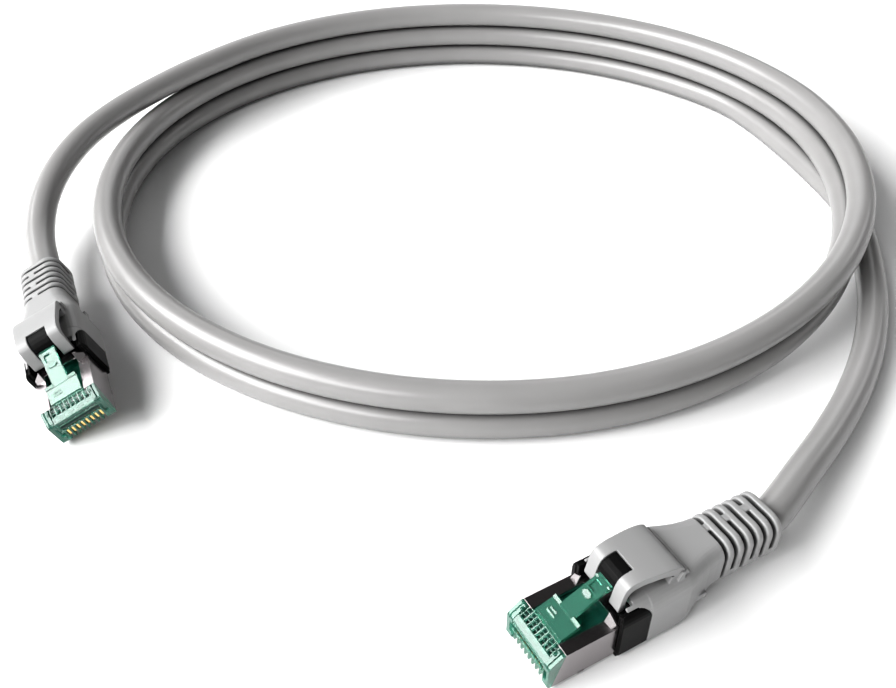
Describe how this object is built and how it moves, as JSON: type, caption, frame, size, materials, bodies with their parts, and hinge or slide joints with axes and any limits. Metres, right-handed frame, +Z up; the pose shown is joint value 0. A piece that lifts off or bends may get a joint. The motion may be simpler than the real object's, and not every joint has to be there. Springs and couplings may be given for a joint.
{
  "type": "ethernet patch cable",
  "caption": "Coiled grey shielded patch cable with a clear green latching modular plug, black collar, sprung release lever and slotted strain relief at each end.",
  "frame": {"origin": "on the surface the cable lies on, under the middle of the two plugs' joint bounding box (the loose cable left out)", "axes": "+X runs along the longest extent of the pair of plugs, +Z is up and their shortest extent; the coil lies towards +Y"},
  "size_m": [0.2053, 0.2349, 0.0197],
  "materials": {
    "cable_jacket": "satin extruded jacket, mid grey",
    "boot_grey": "satin moulded, light grey",
    "black_plastic": "smooth moulded, black",
    "clear_green": "polished transparent moulding, green tint",
    "clear_insert": "clear moulding",
    "gold_contacts": "gold plated, polished",
    "conductor_insulation": "smooth extruded",
    "shield_metal": "nickel plated sheet, lightly polished",
    "braid_metal": "tinned braid"
  },
  "bodies": {
    "cable": {"coil": "cable_jacket", "tail_a": "cable_jacket", "tail_b": "cable_jacket", "housing_a": "clear_green", "contacts_a": "gold_contacts", "load_bar_a": "clear_insert", "wires_a": "conductor_insulation", "shield_a": "shield_metal", "ferrule_a": "shield_metal", "braid_a": "braid_metal", "jacket_end_a": "cable_jacket", "collar_a": "black_plastic", "boot_a": "boot_grey", "housing_b": "clear_green", "contacts_b": "gold_contacts", "load_bar_b": "clear_insert", "wires_b": "conductor_insulation", "shield_b": "shield_metal", "ferrule_b": "shield_metal", "braid_b": "braid_metal", "jacket_end_b": "cable_jacket", "collar_b": "black_plastic", "boot_b": "boot_grey"},
    "lever_body_a": {"lever_a": "boot_grey", "pusher_a": "black_plastic"},
    "latch_body_a": {"latch_a": "clear_green"},
    "lever_body_b": {"lever_b": "boot_grey", "pusher_b": "black_plastic"},
    "latch_body_b": {"latch_b": "clear_green"}
  },
  "joints": [
    {"name": "lever_a_press", "type": "hinge", "parent": "cable", "child": "lever_body_a", "pos_m": [-0.06297, 0.02506, 0.01327], "axis": [0.8503, 0.3697, 0.3746], "range_deg": [0, 8], "stiffness_Nm_per_rad": 0.02},
    {"name": "latch_a_press", "type": "hinge", "parent": "cable", "child": "latch_body_a", "pos_m": [-0.05305, 0.00702, 0.00854], "axis": [-0.8503, -0.3697, -0.3746], "range_deg": [0, 8]},
    {"name": "lever_b_press", "type": "hinge", "parent": "cable", "child": "lever_body_b", "pos_m": [0.05259, -0.03196, 0.012], "axis": [0.4924, -0.8704, 0], "range_deg": [0, 8], "stiffness_Nm_per_rad": 0.02},
    {"name": "latch_b_press", "type": "hinge", "parent": "cable", "child": "latch_body_b", "pos_m": [0.03475, -0.04206, 0.0069], "axis": [-0.4924, 0.8704, 0], "range_deg": [0, 8]}
  ],
  "couplings": [
    {"joint": "latch_a_press", "follows": "lever_a_press", "ratio": 1},
    {"joint": "latch_b_press", "follows": "lever_b_press", "ratio": 1}
  ]
}
